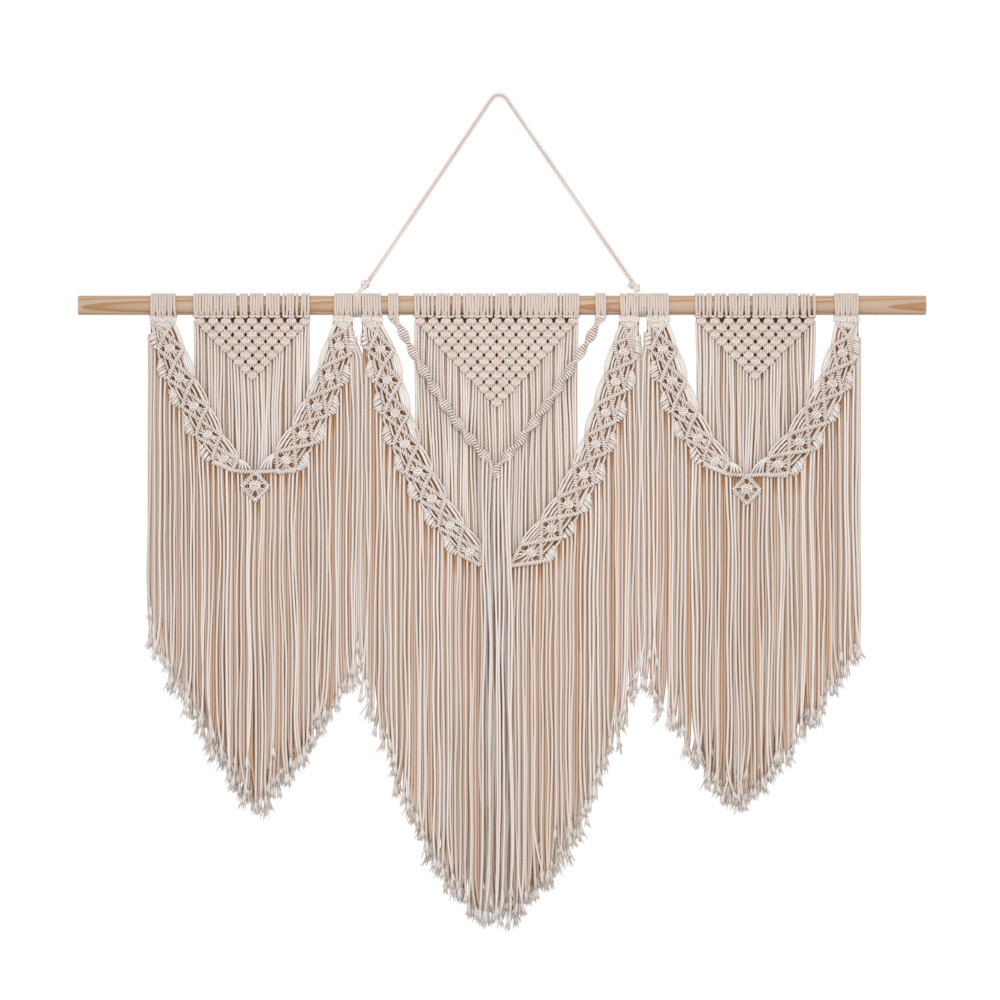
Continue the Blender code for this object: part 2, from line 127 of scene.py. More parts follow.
COTTON_LIGHT = (0.845, 0.85, 0.855, 1.0)
COTTON_DULL = (0.64, 0.63, 0.625, 1.0)
# painted shade: dusk, tan and deep darken the cotton where shade falls; dusk is also the fibres'
# own darker tone
COTTON_DUSK_SHADE_AND_FIBRE = (0.61, 0.48, 0.395, 1.0)
COTTON_TAN_SHADE = (0.495, 0.28, 0.145, 1.0)
COTTON_DEEP_SHADE = (0.19, 0.065, 0.024, 1.0)
SIDE_SHADE = 0.45  # painted shade: brown that a cord takes on where it turns away
# painted shade on the sides of the cords in knots, wraps and bands
KNOT_SIDE_SHADE = 0.6
WRAP_SIDE_SHADE = 0.16
# painted shade: the turns round the dowel are painted darker and duller than the other cords
WRAP_SHADE = 0.12
WRAP_DULL = 0.85
# painted light: the garlands' band cords keep brighter tones than the other cords
BAND_DULL = -0.4
BAND_SIDE_SHADE = 0.42
# painted shade on the crescents' turns
CRESCENT_SIDE_SHADE = 0.3
CRESCENT_SHADE = 0.04
# painted shade on the tufts, and in TUFT_DULL painted light that keeps them bright against their
# own shadow
TUFT_SIDE_SHADE = 0.1
TUFT_DULL = -0.2
FRONT_SHADE = (-0.02, 0.06)  # painted shade of the front and the back layer of the garlands' fringe
BACK_SHADE = (0.06, 0.27)
BACK_TOP_SHADE = 0.62  # deeper painted shade where that layer leaves the band, fading over this length
BACK_TOP_LENGTH = 0.035
EDGE_LIGHTEN = 0.2  # share of their painted shade that the outermost strands keep
BAND_SHADE = {-1: 0.8, 1: 0.7}  # painted shade of the cords at the back of a garland's halves, so that its slots look dark
# painted shade of the panels' back layer below their knots
PANEL_BACK_SHADE = 0.22

# depths of the layers (y)
PANEL_KNOT_Y = -0.0102
PANEL_STRAND_Y = -0.0074
PANEL_BACK_Y = -0.003
BAND_Y = -0.0158
BAND_BACK_Y = -0.0118
FRINGE_FRONT_Y = -0.016
FRINGE_BACK_Y = -0.0122
TWIST_Y = -0.0165
TWIST_STRAND_Y = -0.0212

# lark's heads round the dowel
WRAP_PITCH = 0.0035
WRAP_FULLNESS = 0.56  # radius of a turn in its pitch, so that neighbours press together
WRAP_STAND_OFF = 0.75  # of its middle from the dowel, in that radius
# where a turn leaves its bar, as (y, z) from the dowel's axis
WRAP_START = [(-0.0098, -0.0162), (-0.0124, -0.0125)]
# bar over a pair of turns as (across in its half widths, down, y)
LARK_BAR = ((-1.0, -0.0014, -0.009), (-0.75, 0.0002, -0.013), (0.0, 0.0006, -0.0143),
            (0.75, 0.0002, -0.013), (1.0, -0.0014, -0.009))
BAR_DROP = 0.0146  # ridge of these bars under the dowel

# knotted panels
PANEL_KNOTS = {"panel_left": 9, "panel_centre": 13, "panel_right": 9}
STRANDS_PER_KNOT = 4
FIRST_ROW_DROP = 0.0208
ROW_PITCH = 0.0088
KNOT_HALF_WIDTH = 0.0048
KNOT_HALF_HEIGHT = 0.0034
KNOT_SCATTER = (0.0004, 0.0003)
PAIR_SHIFT = 0.25  # how far a pair of strands stands off its place, in pitches
PAIR_PULL = (0.05, 0.24)  # and how far its two draw together

# cut lower edge: (left, drop), (tip, drop), (right, drop), roundness
FRINGES = {
    "left": (-0.453, 0.445, -0.313, 0.663, -0.178, 0.475, 1.1),
    "centre": (-0.174, 0.5, -0.008, 0.803, 0.182, 0.491, 1.8),
    "right": (0.186, 0.489, 0.309, 0.658, 0.467, 0.455, 1.2),
}
CLUSTER_WIDTH = 0.014
CLUSTER_DROP = 0.012  # how far neighbours end above or below the cut together
END_PLAY = 0.012  # and each strand on its own
EARLY_SHARE = 0.07  # of the strands end well above the cut
EARLY_END = (0.018, 0.045)

# garlands: root on the dowel and (x, drop) of the square knot in each diamond, per half
GARLANDS = {
    "left": (
        (-0.452, -0.419),
        [(-0.4264, 0.056), (-0.4138, 0.094), (-0.3952, 0.131), (-0.3777, 0.168), (-0.3563, 0.199)],
        (-0.214, -0.19),
        [(-0.2066, 0.053), (-0.2196, 0.093), (-0.2356, 0.132), (-0.2538, 0.168),
         (-0.2758, 0.201)]),
    "centre": (
        (-0.1778, -0.1525),
        [(-0.1538, 0.057), (-0.1447, 0.097), (-0.1343, 0.14), (-0.122, 0.18), (-0.1053, 0.216),
         (-0.087, 0.251), (-0.0636, 0.286), (-0.0376, 0.32)],
        (0.157, 0.181),
        [(0.162, 0.061), (0.151, 0.0995), (0.1384, 0.1395), (0.1254, 0.18), (0.1101, 0.22),
         (0.09, 0.2585), (0.068, 0.29), (0.0415, 0.321)]),
    "right": (
        (0.192, 0.2205),
        [(0.2122, 0.057), (0.2242, 0.098), (0.2388, 0.138), (0.2574, 0.172), (0.2797, 0.202)],
        (0.435, 0.466),
        [(0.4452, 0.062), (0.4316, 0.102), (0.4108, 0.142), (0.3894, 0.177), (0.3621, 0.2065)]),
}
ROOT_DROP = 0.0225  # where a garland's first bars start under its lark's heads
JOIN_BELOW_KNOTS = 0.0165
CENTRE_FOOT = Vector((0.0143, 0.338))  # where the centre garland's right half ends
CENTRE_OPEN = (-0.0225, 0.015)  # between its halves the panel's strands hang free
# outer and inner corner of a diamond from its knot, for the left and the right halves
DIAMONDS = {
    -1: (Vector((-0.0152, 0.0019)), Vector((0.0176, 0.0008))),
    1: (Vector((0.0127, 0.0117)), Vector((-0.0127, -0.0101))),
}
CORNER_INSET = 0.003  # of a garland's first corners from the edges of its root
BAR_HALF_WIDTH = 0.0019  # of a hitch bar, to the middle of its loops
BAR_YS = (BAND_Y - 0.0022, BAND_Y - 0.0006)  # in front and behind where two cross
HITCH_PITCH = 0.0032
HITCH_LEAN = 0.001
HITCH_RADIUS = KNOT_RADIUS * 0.92
HITCH_SWEEP = 150  # degrees that a loop goes to each side of its middle
HITCH_STEPS = 7
CELL_KNOT = (0.0052, 0.004)  # half width and height of the square knot in a diamond
# crescents: lark's heads packed over a loop outside each diamond
CRESCENT_PITCH = 0.0029
CRESCENT_HALF_WIDTH = 0.0054
CRESCENT_RADIUS = 0.00165
CRESCENT_SLOPE = 0.36  # how far the turns' outer ends hang below their inner ones
CRESCENT_TURN = ((-1.0, 0.0024), (-0.85, 0.0002), (-0.35, -0.0022),
                 (0.3, -0.0024), (0.82, -0.0002), (1.0, 0.0024))
# a crescent's line as (share of the way to the next corner, bulge, share of one beside it)
LEAF = ((0.34, 0.0016, 0.5), (0.52, 0.004, 1.0), (0.74, 0.0042, 1.0))
FIRST_LEAF = 0.85  # size of the crescent next to the dowel
# loops along a garland's inner edge: share of the way, share of their bulge
INNER_LOOP = ((0.22, 0.72), (0.55, 1.0), (0.82, 0.78))
NEST_PITCH = 0.0056  # cords side by side between two diamonds
PENDANT_HALF_WIDTH = 0.0175
PENDANT_HEIGHT = 0.037
PENDANT_ARM_Y = BAND_Y - 0.001
FRONT_PITCH = 0.0062  # of the fringe
BACK_PITCH = 0.0038
PITCH_PLAY = 0.36  # share of the free pitch that a strand may stand off its place
EDGE_TOP = 0.014  # how far below the root the outermost strands start

# twisted sinnets of the V
TWISTS = [
    ((-0.144, -0.13),
     [(-0.137, 0.015), (-0.1246, 0.036), (-0.1116, 0.061), (-0.0935, 0.092), (-0.074, 0.124),
      (-0.0558, 0.15), (-0.0325, 0.18), (-0.0104, 0.206), (-0.004, 0.224)]),
    ((0.125, 0.139),
     [(0.132, 0.015), (0.1194, 0.04), (0.1025, 0.067), (0.0844, 0.096), (0.0584, 0.134),
      (0.039, 0.16), (0.0208, 0.184), (0.0026, 0.205), (-0.003, 0.22)]),
]
TWIST_PERIOD = 0.027
TWIST_STRANDS = 8
TWIST_STRAND_FIRST = -0.0201
TWIST_STRAND_PITCH = 0.00487

# ties of the hanging cord: turns on the dowel, knot above them as (x, z)
TIES = {
    "cord_tie_left": ((-0.1886, -0.1792), (-0.1726, -0.2466)),
    "cord_tie_right": ((0.1822, 0.1908), (0.1775, -0.249)),
}
TIE_KNOT_SIZE = (0.0068, 0.0082)
TIE_WRAP_MARGIN = 0.0007
TIE_STRAND_OFFSET = 0.0012
TIE_FEET = {"cord_tie_left": -0.1839, "cord_tie_right": 0.1775}  # where they reach the dowel
# overhand knots in each tie, as (x, z) from its knot and the size of their loops
TIE_KNOTS = {
    "cord_tie_left": ((-0.0012, 0.0006, 0.00138),),
    "cord_tie_right": ((0.0012, -0.0014, 0.0012), (-0.0056, 0.0018, 0.0011)),
}
HANGER_DIAMETER = 0.0056
HANGER_APEX_RADIUS = 0.012
HANGER_STEP = 0.012
HANGER_CLEARANCE = 0.0004
HANGER_SWING = 0.75  # how far its two strands turn round each other, each way


# ---- camera, light and floor
def add_object(name, data):
    made = bpy.data.objects.new(name, data)
    bpy.context.scene.collection.objects.link(made)
    return made


def make_camera():
    lens = bpy.data.cameras.new("camera")
    lens.sensor_width = SENSOR_MM
    lens.lens = SENSOR_MM * CAMERA_DISTANCE / (PHOTO_SIZE * PHOTO_SCALE)
    lens.clip_end = 100.0
    camera = add_object("camera", lens)
    camera.location = ((PHOTO_SIZE / 2 - PHOTO_APEX[0]) * PHOTO_SCALE, -CAMERA_DISTANCE,
                       (PHOTO_APEX[1] - PHOTO_SIZE / 2) * PHOTO_SCALE)
    camera.rotation_euler = (math.pi / 2, 0.0, 0.0)
    bpy.context.scene.camera = camera


def make_key_light():
    lamp = bpy.data.lights.new("key", "AREA")
    lamp.shape = "DISK"
    lamp.size, lamp.energy, lamp.color = KEY_SIZE, KEY_POWER, KEY_COLOUR
    lamp.spread = math.radians(KEY_SPREAD)
    made = add_object("key", lamp)
    made.location = KEY_PLACE
    middle = (CAD_BOX[0] + CAD_BOX[1]) / 2
    made.rotation_euler = (middle - Vector(KEY_PLACE)).to_track_quat("-Z", "Y").to_euler()


def make_studio():
    world = bpy.data.worlds.new("studio")
    world.use_nodes = True
    backdrop = world.node_tree.nodes["Background"]
    set_inputs(backdrop, {"Color": (1.0, 1.0, 1.0, 1.0), "Strength": 1.0})
    bpy.context.scene.world = world
    bpy.context.scene.view_settings.view_transform = "Standard"
    make_key_light()
    mesh = bpy.data.meshes.new("floor")
    half = FLOOR_SIZE / 2
    mesh.from_pydata([(-half, -half, 0), (half, -half, 0), (half, half, 0), (-half, half, 0)],
                     [], [(0, 1, 2, 3)])
    floor = add_object("floor", mesh)
    floor.location.z = CAD_BOX[0].z - FLOOR_DROP
    pale, _, shader = new_material("pale_floor")
    set_inputs(shader, {"Base Color": (0.8, 0.8, 0.79, 1.0), "Roughness": 0.9})
    mesh.materials.append(pale)


# ---- materials
def set_inputs(made, values):
    for name, value in values.items():
        made.inputs[name].default_value = value


def feed(tree, socket, value):
    if isinstance(value, bpy.types.NodeSocket):
        tree.links.new(value, socket)
    elif value is not None:
        socket.default_value = value


def node(tree, kind, inputs=(), **settings):
    """A shader node with its settings; inputs are values or sockets for its first sockets."""
    made = tree.nodes.new(kind)
    for key, value in settings.items():
        setattr(made, key, value)
    for socket, value in zip(made.inputs, inputs):
        feed(tree, socket, value)
    return made


def math_node(tree, operation, *values):
    return node(tree, "ShaderNodeMath", values, operation=operation).outputs[0]


def times(tree, first, second):
    return math_node(tree, "MULTIPLY", first, second)


def mix(tree, factor, first, second):
    made = node(tree, "ShaderNodeMix", data_type="RGBA")
    for name, value in (("Factor", factor), ("A", first), ("B", second)):
        kind = "VALUE" if name == "Factor" else "RGBA"
        feed(tree, next(s for s in made.inputs if (s.name, s.type) == (name, kind)), value)
    return next(s for s in made.outputs if s.type == "RGBA")


def noise_node(tree, place, scale, detail, roughness):
    return node(tree, "ShaderNodeTexNoise", (place, None, scale, detail, roughness)).outputs[0]


def add_bump(tree, shader, height, strength, distance):
    bump = node(tree, "ShaderNodeBump")
    set_inputs(bump, {"Strength": strength, "Distance": distance})
    tree.links.new(height, bump.inputs["Height"])
    tree.links.new(bump.outputs[0], shader.inputs["Normal"])


def new_material(name):
    made = bpy.data.materials.new(name)
    made.use_nodes = True
    return made, made.node_tree, made.node_tree.nodes["Principled BSDF"]


def cotton_material():
    """Undyed cotton of three plies: grooves of the twist and fibres, with painted shade in warm
    brown in its grooves and crevices.
    """
    made, tree, shader = new_material("twisted_cotton")
    place = node(tree, "ShaderNodeUVMap", uv_map="strand").outputs[0]
    split = node(tree, "ShaderNodeSeparateXYZ", (place,)).outputs
    turns = math_node(tree, "ADD", split[0], split[1])
    angle = times(tree, turns, 3 * math.pi)
    ply = math_node(tree, "ABSOLUTE", math_node(tree, "SINE", angle))
    body = node(tree, "ShaderNodeTexCoord").outputs["Object"]
    fibre = noise_node(tree, body, 900.0, 3.0, 0.6)
    patch = noise_node(tree, body, 9.0, 2.0, 0.5)
    tone = node(tree, "ShaderNodeAttribute", attribute_name="tone").outputs["Fac"]
    shade = node(tree, "ShaderNodeAttribute", attribute_name="shade").outputs["Fac"]
    light = mix(tree, tone, COTTON_LIGHT, COTTON_DULL)
    light = mix(tree, times(tree, patch, 0.25), light, COTTON_DULL)
    # painted shade in the grooves between the plies, besides their bump
    groove_shade = times(tree, math_node(tree, "SUBTRACT", 1.0, ply), 0.3)
    light = mix(tree, groove_shade, light, COTTON_DUSK_SHADE_AND_FIBRE)
    fuzz = times(tree, math_node(tree, "SUBTRACT", fibre, 0.45), 0.5)
    light = mix(tree, fuzz, light, COTTON_DUSK_SHADE_AND_FIBRE)
    # painted shade: the shade attribute at 0, 0.25, 0.5 and 1 gives light, dusk, tan and deep
    dusk = times(tree, shade, 4.0)
    tan = math_node(tree, "MULTIPLY_ADD", shade, 4.0, -1.0)
    deep = math_node(tree, "MULTIPLY_ADD", shade, 2.0, -1.0)
    colour = mix(tree, dusk, light, COTTON_DUSK_SHADE_AND_FIBRE)
    colour = mix(tree, tan, colour, COTTON_TAN_SHADE)
    colour = mix(tree, deep, colour, COTTON_DEEP_SHADE)
    tree.links.new(colour, shader.inputs["Base Color"])
    relief = math_node(tree, "ADD", ply, times(tree, fibre, 0.35))
    add_bump(tree, shader, relief, 0.7, 0.0005)
    set_inputs(shader, {"Roughness": 0.92, "Specular IOR Level": 0.2, "Sheen Weight": 0.08})
    return made


def pine_material():
    """Sanded pine turned from a flat-sawn board: its growth rings run out in long arches."""
    made, tree, shader = new_material("sanded_pine")
    body = node(tree, "ShaderNodeTexCoord").outputs["Object"]
    drawn = node(tree, "ShaderNodeMapping", (body,))
    set_inputs(drawn, {"Location": (0.31, 0.0, 0.0), "Scale": (1.0, 1.6, 1.6)})
    bend = noise_node(tree, drawn.outputs[0], 3.5, 1.5, 0.45)
    split = node(tree, "ShaderNodeSeparateXYZ", (body,)).outputs
    across = math_node(tree, "ADD", split[1], -PITH[0])
    up = math_node(tree, "ADD", split[2], -DOWEL_Z - PITH[1])
    squares = [times(tree, side, side) for side in (across, up)]
    reach = math_node(tree, "SQRT", math_node(tree, "ADD", *squares))
    tilted = math_node(tree, "MULTIPLY_ADD", split[0], RING_TILT, reach)
    rings = math_node(tree, "ADD", times(tree, tilted, 1 / RING_WIDTH),
                      times(tree, bend, RING_BEND))
    year = math_node(tree, "FRACT", rings)
    ramp = node(tree, "ShaderNodeValToRGB", (year,))
    stops = ramp.color_ramp.elements
    stops[0].position, stops[0].color = 0.0, PINE_EARLY
    stops[1].position, stops[1].color = 1.0, PINE_EARLY
    for position, colour in RING_STOPS:
        stops.new(position).color = colour
    grain_place = node(tree, "ShaderNodeMapping", (body,))
    set_inputs(grain_place, {"Scale": (12.0, 900.0, 900.0)})
    grain = noise_node(tree, grain_place.outputs[0], 1.0, 3.0, 0.6)
    lines = times(tree, grain, 0.3)
    colour = mix(tree, lines, ramp.outputs[0], PINE_LATE)
    patch = noise_node(tree, body, 7.0, 2.0, 0.5)
    colour = mix(tree, times(tree, patch, 0.35), colour, PINE_MIDDLE)
    tree.links.new(colour, shader.inputs["Base Color"])
    add_bump(tree, shader, math_node(tree, "ADD", grain, year), 0.25, 0.0003)
    rough = math_node(tree, "MULTIPLY_ADD", grain, 0.2, 0.45)
    tree.links.new(rough, shader.inputs["Roughness"])
    set_inputs(shader, {"Specular IOR Level": 0.3})
    return made


# ---- cords as tubes
def at(place, y):
    """The flat place (x, drop) at depth y."""
    return Vector((place[0], y, DOWEL_Z - place[1]))


def smooth(points, steps):
    """Points of a Catmull-Rom curve through the given ones."""
    ends = [2 * points[0] - points[1]] + points + [2 * points[-1] - points[-2]]
    line = []
    for a, b, c, d in zip(ends, ends[1:], ends[2:], ends[3:]):
        for step in range(steps):
            t = step / steps
            line.append(0.5 * (2 * b + (c - a) * t + (2 * a - 5 * b + 4 * c - d) * t * t
                               + (3 * b - a - 3 * c + d) * t ** 3))
    return line + [points[-1]]


CIRCLES = {sides: [(math.cos(TAU * k / sides), math.sin(TAU * k / sides)) for k in range(sides)]
           for sides in (5, 6, 8)}


class Yarn:
    """Cords gathered for one piece, each a round tube along its points."""

    def __init__(self, node_name, kind, seed):
        self.node_name, self.name, self.seed = node_name, node_name + kind, seed
        self.random = random.Random(seed)
        self.verts, self.faces, self.uvs, self.shades, self.tones = [], [], [], [], []
        self.dull, self.side_shade = 0.0, SIDE_SHADE

    def between(self, low, high):
        return self.random.uniform(low, high)

    def around(self, reach):
        return self.random.uniform(-reach, reach)

    def cord(self, points, radius, shade=0.0, sides=SIDES, core=None, side_shade=None, dull=None):
        """A cord along the points; radius and shade are one number or one for each point.

        shade paints shade on its front and side_shade paints shade on its sides.  core is a (y, z)
        that it winds round.
        dull is the least that its own tone, from bright 0 to dull 1, can be.
        """
        count = len(points)
        radii = radius if isinstance(radius, list) else [radius] * count
        shades = shade if isinstance(shade, list) else [shade] * count
        tone, first, along, side = self.random.random(), len(self.verts), 0.0, None
        dull = self.dull if dull is None else dull
        side_shade = self.side_shade if side_shade is None else side_shade
        turns, dullness = [], dull + (1.0 - dull) * tone ** 2
        for index, point in enumerate(points):
            tangent = (points[min(index + 1, count - 1)] - points[max(index - 1, 0)]).normalized()
            if side is None:
                side = tangent.cross(Vector((1.0, 0.0, 0.0)))
                if side.length < 0.3:
                    side = tangent.cross(Vector((0.0, 0.0, 1.0)))
            side = (side - tangent * tangent.dot(side)).normalized()
            up = tangent.cross(side)
            outward = Vector((0.0, -1.0, 0.0))
            if core is not None:
                outward = Vector((0.0, point.y - core[0], point.z - core[1]))
            lateral = tangent.cross(outward).normalized()
            if index:
                along += (point - points[index - 1]).length
            turns.append(along / TWIST_PITCH + tone)
            for cosine, sine in CIRCLES[sides]:
                out = side * cosine + up * sine
                self.verts.append(point + out * radii[index])
                # painted shade: shade on the side facing the front (-Y), side_shade where the cord
                # turns sideways
                self.shades.append(shades[index] * min(1.0, max(0.0, 0.6 - out.y))
                                   + side_shade * abs(out.dot(lateral)) ** 3)
                self.tones.append(dullness)
        for ring in range(count - 1):
            low, high = turns[ring], turns[ring + 1]
            for k in range(sides):
                a, b = first + ring * sides + k, first + ring * sides + (k + 1) % sides
                self.faces.append((a, b, b + sides, a + sides))
                self.uvs += (k / sides, low, (k + 1) / sides, low,
                             (k + 1) / sides, high, k / sides, high)
        last = first + (count - 1) * sides
        self.faces.append(tuple(range(first + sides - 1, first - 1, -1)))
        self.faces.append(tuple(range(last, last + sides)))
        self.uvs += (0.5, turns[0]) * sides + (0.5, turns[-1]) * sides

    def make(self, material):
        mesh = bpy.data.meshes.new(self.name)
        mesh.from_pydata(self.verts, [], self.faces)
        mesh.uv_layers.new(name="strand").data.foreach_set("uv", self.uvs)
        for name, values in (("shade", self.shades), ("tone", self.tones)):
            mesh.attributes.new(name, "FLOAT", "POINT").data.foreach_set("value", values)
        mesh.shade_smooth()
        mesh.materials.append(material)
        piece = add_object(self.name, mesh)
        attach(piece, "root")
        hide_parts(self.node_name)
        return piece


# ---- knots
def wrap_places(yarn, left, right, count):
    """Middles of turns that stand close, with the slack left in a few gaps."""
    slack = max(0.0, (right - left) - count * WRAP_PITCH)
    shares = [yarn.between(0.0, 1.0) ** 5 + 0.01 for _ in range(count + 1)]
    step = (right - left - slack) / count
    places, x = [], left
    for share in shares[:-1]:
        x += slack * share / sum(shares)
        places.append(x + step / 2)
        x += step
    return places


def wraps(yarn, left, right, count, bars=True):
    """Lark's heads: pairs of turns drawn together under a bar; without bars, plain turns."""
    places = wrap_places(yarn, left, right, count)
    radius = min((right - left) / count, WRAP_PITCH) * WRAP_FULLNESS
    ring = DOWEL_RADIUS + radius * WRAP_STAND_OFF
    lean = 0.0
    for index, x in enumerate(places):
        inward = (1.0 if index % 2 == 0 else -1.0) * yarn.between(0.0003, 0.0008) * bars
        if index % 2 == 0:
            lean = yarn.around(0.0006)
        swell = ring + yarn.between(0.0, 0.0004)
        route = WRAP_START + [(-swell, -0.006)] if bars else []
        for degrees in range(0 if bars else -90, 271 - 30 * bars, 30):
            angle = math.radians(degrees)
            route.append((-swell * math.cos(angle), swell * math.sin(angle)))
        if bars:
            route.append((-0.005, -0.015))
        points = []
        for y, z in route:
            low = min(1.0, max(0.0, -z / 0.0125)) ** 4
            points.append(Vector((x + lean * z / ring + inward * low, y, DOWEL_Z + z)))
        # the turns carry painted shade, darker and duller than the other cords
        yarn.cord(points, radius, WRAP_SHADE, core=(0.0, DOWEL_Z), side_shade=WRAP_SIDE_SHADE,
                  dull=WRAP_DULL)
        if bars and index % 2:
            middle = (places[index - 1] + x) / 2
            lift = yarn.around(0.0004)
            line = [at((middle + a * WRAP_PITCH * 0.98, BAR_DROP + b + lift), y)
                    for a, b, y in LARK_BAR]
            yarn.cord(smooth(line, 2), KNOT_RADIUS)
    if bars:
        # a cord painted in deep shade closes the view behind the bars
        under = [at((left + (right - left) * share, BAR_DROP - 0.0022), -0.0062)
                 for share in (0.01, 0.5, 0.99)]
        yarn.cord(under, 0.0026, shade=1.0)


# cords of a square knot as (across, down, forward), in half widths, half heights and depths;
# those of KNOT_SIDES run down both its sides
KNOT_SIDES = (
    ((0.45, -1.05, 0.2), (0.95, -0.55, 0.6), (1.04, 0.0, 0.8), (0.95, 0.55, 0.6),
     (0.45, 1.05, 0.2)),
    ((0.28, -1.35, 0.0), (0.26, -0.95, 0.85), (0.2, 0.0, 0.2), (0.26, 0.95, 0.85),
     (0.28, 1.35, 0.0)),
)
KNOT_ROUTES = (
    ((-1.0, -0.15, 0.1), (-0.75, -0.58, 0.85), (0.0, -0.36, 1.15), (0.7, -0.12, 0.95),
     (1.0, 0.15, 0.1)),
    ((-1.0, 0.0, 0.1), (-0.7, 0.14, 0.95), (0.0, 0.36, 1.15), (0.75, 0.58, 0.85), (1.0, 0.2, 0.1)),
    *(tuple((side * a, b, c) for a, b, c in route) for route in KNOT_SIDES for side in (-1, 1)),
    ((-0.9, -0.2, 0.0), (0.0, -0.4, -0.9), (0.9, -0.2, 0.0)),
    ((-0.9, 0.3, 0.0), (0.0, 0.5, -0.9), (0.9, 0.3, 0.0)),
)
# cords from a knot to the next row, as (across, down) of both ends from their own knots
KNOT_LINKS = (((0.02, 1.05), (-1.04, -0.1)), ((0.52, 0.85), (-0.52, -0.85)),
              ((1.04, 0.1), (-0.02, -1.1)))


def square_knot(yarn, place, y, half_width, half_height, turn=0.0, radius=KNOT_RADIUS):
    """Two half knots over two core cords, drawn from the front and turned in its plane."""
    turn += yarn.around(0.09)
    right = Vector((math.cos(turn), math.sin(turn)))
    down = Vector((-math.sin(turn), math.cos(turn)))
    depth = radius * 1.5
    grow = yarn.between(0.93, 1.07)
    for route in KNOT_ROUTES:
        line = [at(place + right * a * half_width * grow + down * b * half_height, y - c * depth)
                for a, b, c in route]
        yarn.cord(smooth(line, 2), radius)


def hitch_bar(yarn, start, end, y, lean=1.0):
    """Row of double half hitches: loops side by side over a cord from start to end."""
    way = end - start
    length = way.length
    way.normalize()
    across = Vector((way.y, -way.x))
    count = max(2, round(length / HITCH_PITCH))
    yarn.cord([at(start, y), at(end, y)], BAR_HALF_WIDTH, sides=5)
    for index in range(count):
        middle = start + way * length * (index + 0.5) / count
        shift = HITCH_LEAN * lean * yarn.between(0.7, 1.3)
        swell = BAR_HALF_WIDTH * yarn.between(0.92, 1.12)
        line = []
        for step in range(HITCH_STEPS + 1):
            angle = math.radians(-HITCH_SWEEP + 2 * HITCH_SWEEP * step / HITCH_STEPS)
            flat = middle + across * math.sin(angle) * swell + way * math.sin(angle) * shift
            line.append(at(flat, y - math.cos(angle) * swell))
        yarn.cord(line, HITCH_RADIUS, sides=5)


# ---- fringe
def cut_drop(fringe, x):
    """Drop of a fringe's V cut at x."""
    left, left_drop, tip, tip_drop, right, right_drop, curve = FRINGES[fringe]
    side, side_drop = (left, left_drop) if x < tip else (right, right_drop)
    share = min(1.0, abs(x - tip) / abs(side - tip))
    return side_drop + (tip_drop - side_drop) * (1.0 - share ** curve)


def tuft(yarn, end, way, shade, locks):
    """The plies that come undone below the cut: a brush of cotton and locks out of it."""
    length = yarn.between(*TUFT_LENGTH)
    lean = Vector((yarn.around(TUFT_LEAN), yarn.around(TUFT_LEAN), 0.0))
    spread = yarn.between(0.22, 0.42)
    # painted shade on the tuft, warm where shade falls
    tuft_shade = 0.06 + 0.3 * shade
    look = {"side_shade": TUFT_SIDE_SHADE, "dull": TUFT_DULL}
    brush = [end - way * 0.002]
    brush += [end + (way + lean * tilt) * length * share for share, tilt in BRUSH]
    yarn.cord(brush, [STRAND_RADIUS * size for size in (0.9, 1.15, 1.35, 0.5)], tuft_shade, 5, **look)
    for lock in range(locks):
        angle = lock * LOCK_TURN
        out = Vector((math.cos(angle), math.sin(angle) * 0.7, 0.0))
        out = out * math.sqrt((lock + 0.5) / locks)
        reach = length * yarn.between(0.8, 1.15)
        bend = out * spread * yarn.between(0.7, 1.4)
        line = [end + out * STRAND_RADIUS * 0.7 + way * reach * 0.15,
                end + way * reach * 0.55 + (bend * 0.5 + lean * 0.4) * reach,
                end + way * reach + (bend + lean) * reach]
        yarn.cord(line, [0.0009, 0.0011, 0.0003], tuft_shade, 5, **look)


def drift_at(wave, x, drop, lane):
    width, length, reach = wave
    return noise.noise(Vector((x / width, drop / length, lane))) * reach


def hanging_strand(yarn, x, y, top, end, shade=0.0, root_y=None, back=False, root_x=None):
    """One strand from its knot to its frayed end, drifting with its neighbours.

    shade is a number or a function of how far it has fallen.  A strand whose knot is
    elsewhere starts at root_x and root_y.
    """
    aside = 0.0 if root_x is None else root_x - x
    count = max(4, round((end - top) / STRAND_STEP))
    falls = [(end - top) * step / count for step in range(count + 1)]
    shades = [shade(fall) if callable(shade) else shade for fall in falls]
    play = BACK_PLAY if back else 1.0
    slope = yarn.random.gauss(0.0, STRAND_SLOPE) * play
    splay = yarn.random.gauss(0.0, SPLAY)
    line = []
    for fall in falls:
        loose = min(1.0, fall / LOOSE_LENGTH) * play
        drift = drift_at(SWAY, x, top + fall, yarn.seed * 3.7)
        wave = drift_at(WAVE, x, top + fall, y * 900)
        depth = drift_at(DEPTH_WAVE, x, top + fall, 40 + y * 900)
        root = 0.0 if root_y is None else (root_y - y) * max(0.0, 1.0 - fall / ROOT_LENGTH)
        last = max(0.0, 1.0 - (end - top - fall) / SPLAY_LENGTH) ** 2
        here = (x + (drift + wave) * loose + slope * max(0.0, fall - SLOPE_BELOW)
                + splay * last + aside * max(0.0, 1.0 - fall / ASIDE_LENGTH))
        line.append(at((here, top + fall), y + depth * loose + root))
    radius = BACK_RADIUS if back else STRAND_RADIUS * yarn.between(*STRAND_PLAY)
    yarn.cord(line, radius, shades, BACK_SIDES if back else SIDES)
    way = (line[-1] - line[-2]).normalized()
    tuft(yarn, line[-1], way, shades[-1], TUFT_LOCKS - 2 * back)


def uneven_end(yarn, fringe, x):
    """Drop at which a strand of the fringe is cut, a little above its V and uneven."""
    cluster = noise.noise(Vector((x / CLUSTER_WIDTH, yarn.seed // 10, 3.0)))
    early = yarn.between(*EARLY_END) if yarn.between(0.0, 1.0) < EARLY_SHARE else 0.0
    drop = cut_drop(fringe, x) - TUFT_LENGTH[0] + cluster * CLUSTER_DROP
    return drop - yarn.between(0.0, END_PLAY) - early


